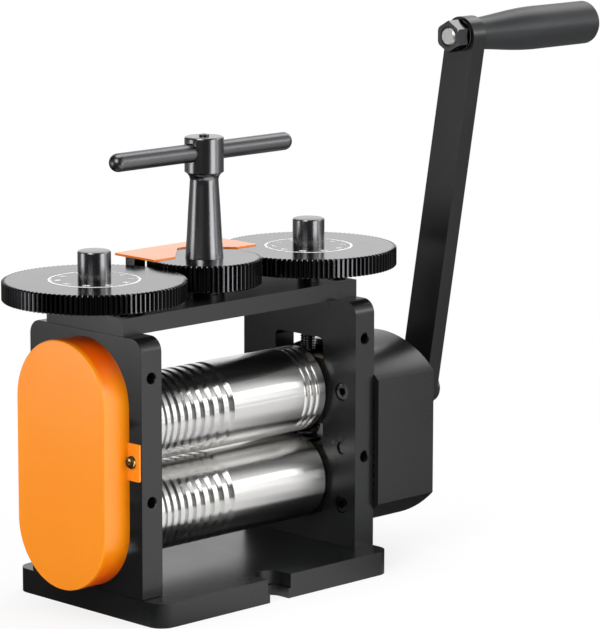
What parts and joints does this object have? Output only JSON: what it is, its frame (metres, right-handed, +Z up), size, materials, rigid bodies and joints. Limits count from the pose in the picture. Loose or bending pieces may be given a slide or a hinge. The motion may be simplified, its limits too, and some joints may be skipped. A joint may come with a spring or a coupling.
{
  "type": "rolling mill",
  "caption": "Hand-cranked bench rolling mill with two steel rolls between side plates, a geared T handle that sets the roll gap, and covered drive gears.",
  "frame": {"origin": "centre of the base plate's underside", "axes": "+X towards the gear housing and crank, -Y towards the side that metal is fed from, +Z up"},
  "size_m": [0.3591, 0.1054, 0.2743],
  "materials": {
    "black_coat": "semi-gloss black coating on machined steel",
    "oxide_steel": "black oxide, glossy",
    "orange_paint": "orange powder coat, satin",
    "roll_steel": "hardened, ground and polished",
    "gear_steel": "machined",
    "spring_steel": "drawn wire",
    "bearing_bronze": "machined, oiled",
    "grip_plastic": "moulded, satin",
    "plated_steel": "yellow zinc plate"
  },
  "bodies": {
    "frame": {"base_plate": "black_coat", "left_side_plate": "black_coat", "right_side_plate": "black_coat", "top_bar": "black_coat", "base_screw_left_front": "oxide_steel", "base_screw_left_rear": "oxide_steel", "base_screw_right_front": "oxide_steel", "base_screw_right_rear": "oxide_steel", "bar_screw_left_front": "oxide_steel", "bar_screw_left_rear": "oxide_steel", "bar_screw_right_front": "oxide_steel", "bar_screw_right_rear": "oxide_steel", "lower_block_left": "bearing_bronze", "lower_block_right": "bearing_bronze", "lift_spring_left": "spring_steel", "lift_spring_right": "spring_steel", "left_gear_cover": "orange_paint", "cover_screw_front": "plated_steel", "cover_screw_rear": "plated_steel", "gear_housing": "black_coat", "housing_screw_front_lower": "oxide_steel", "housing_screw_front_upper": "oxide_steel", "housing_screw_rear_lower": "oxide_steel", "housing_screw_rear_upper": "oxide_steel", "housing_dowel_front": "gear_steel", "housing_dowel_rear": "gear_steel", "crank_bush": "bearing_bronze", "guard_plate": "orange_paint", "guard_post_left": "oxide_steel", "guard_post_right": "oxide_steel", "guard_screw_left": "oxide_steel", "guard_screw_right": "oxide_steel"},
    "crank": {"crank_shaft": "gear_steel", "crank_arm": "oxide_steel", "crank_screw": "oxide_steel", "handle_nut": "oxide_steel", "handle_washer": "oxide_steel", "handle_bolt": "gear_steel"},
    "grip": {"handle_grip": "grip_plastic"},
    "lower_roll": {"lower_roll": "roll_steel", "lower_coupling_gear": "gear_steel", "driven_gear": "gear_steel", "lower_left_ring": "oxide_steel", "lower_right_ring": "oxide_steel"},
    "carriage": {"upper_block_left": "bearing_bronze", "upper_block_right": "bearing_bronze"},
    "upper_roll": {"upper_roll": "roll_steel", "upper_coupling_gear": "gear_steel", "upper_left_ring": "oxide_steel"},
    "left_screw": {"pressure_screw_left": "oxide_steel", "dial_gear_left": "oxide_steel"},
    "right_screw": {"pressure_screw_right": "oxide_steel", "dial_gear_right": "oxide_steel"},
    "t_handle": {"t_spindle": "oxide_steel", "centre_gear": "oxide_steel", "cross_bar": "oxide_steel", "cross_bar_screw": "oxide_steel", "spindle_screw": "oxide_steel"}
  },
  "joints": [
    {"name": "crank_turn", "type": "hinge", "parent": "frame", "child": "crank", "pos_m": [0.12, 0, 0.0758], "axis": [1, 0, 0], "continuous": true},
    {"name": "grip_spin", "type": "hinge", "parent": "crank", "child": "grip", "pos_m": [0.2, -0.03169, 0.26314], "axis": [1, 0, 0], "continuous": true},
    {"name": "lower_roll_turn", "type": "hinge", "parent": "frame", "child": "lower_roll", "pos_m": [0, 0, 0.04415], "axis": [1, 0, 0], "continuous": true},
    {"name": "roll_gap", "type": "slide", "parent": "frame", "child": "carriage", "axis": [0, 0, 1], "range_m": [-0.002, 0.0035], "deforming": ["lift_spring_left", "lift_spring_right"]},
    {"name": "upper_roll_turn", "type": "hinge", "parent": "carriage", "child": "upper_roll", "pos_m": [0, 0, 0.08915], "axis": [1, 0, 0], "continuous": true},
    {"name": "left_screw_turn", "type": "hinge", "parent": "carriage", "child": "left_screw", "pos_m": [-0.0715, 0, 0.15], "axis": [0, 0, 1], "range_deg": [-577, 1009]},
    {"name": "right_screw_turn", "type": "hinge", "parent": "carriage", "child": "right_screw", "pos_m": [0.0715, 0, 0.15], "axis": [0, 0, 1], "range_deg": [-577, 1009]},
    {"name": "t_handle_turn", "type": "hinge", "parent": "frame", "child": "t_handle", "pos_m": [0, 0, 0.15], "axis": [0, 0, 1], "range_deg": [-1593, 910]}
  ],
  "couplings": [
    {"joint": "lower_roll_turn", "follows": "crank_turn", "ratio": -0.4},
    {"joint": "upper_roll_turn", "follows": "crank_turn", "ratio": 0.4},
    {"joint": "left_screw_turn", "follows": "roll_gap", "rad_per_m": 5026.5},
    {"joint": "right_screw_turn", "follows": "roll_gap", "rad_per_m": 5026.5},
    {"joint": "t_handle_turn", "follows": "roll_gap", "rad_per_m": -7940.5}
  ]
}
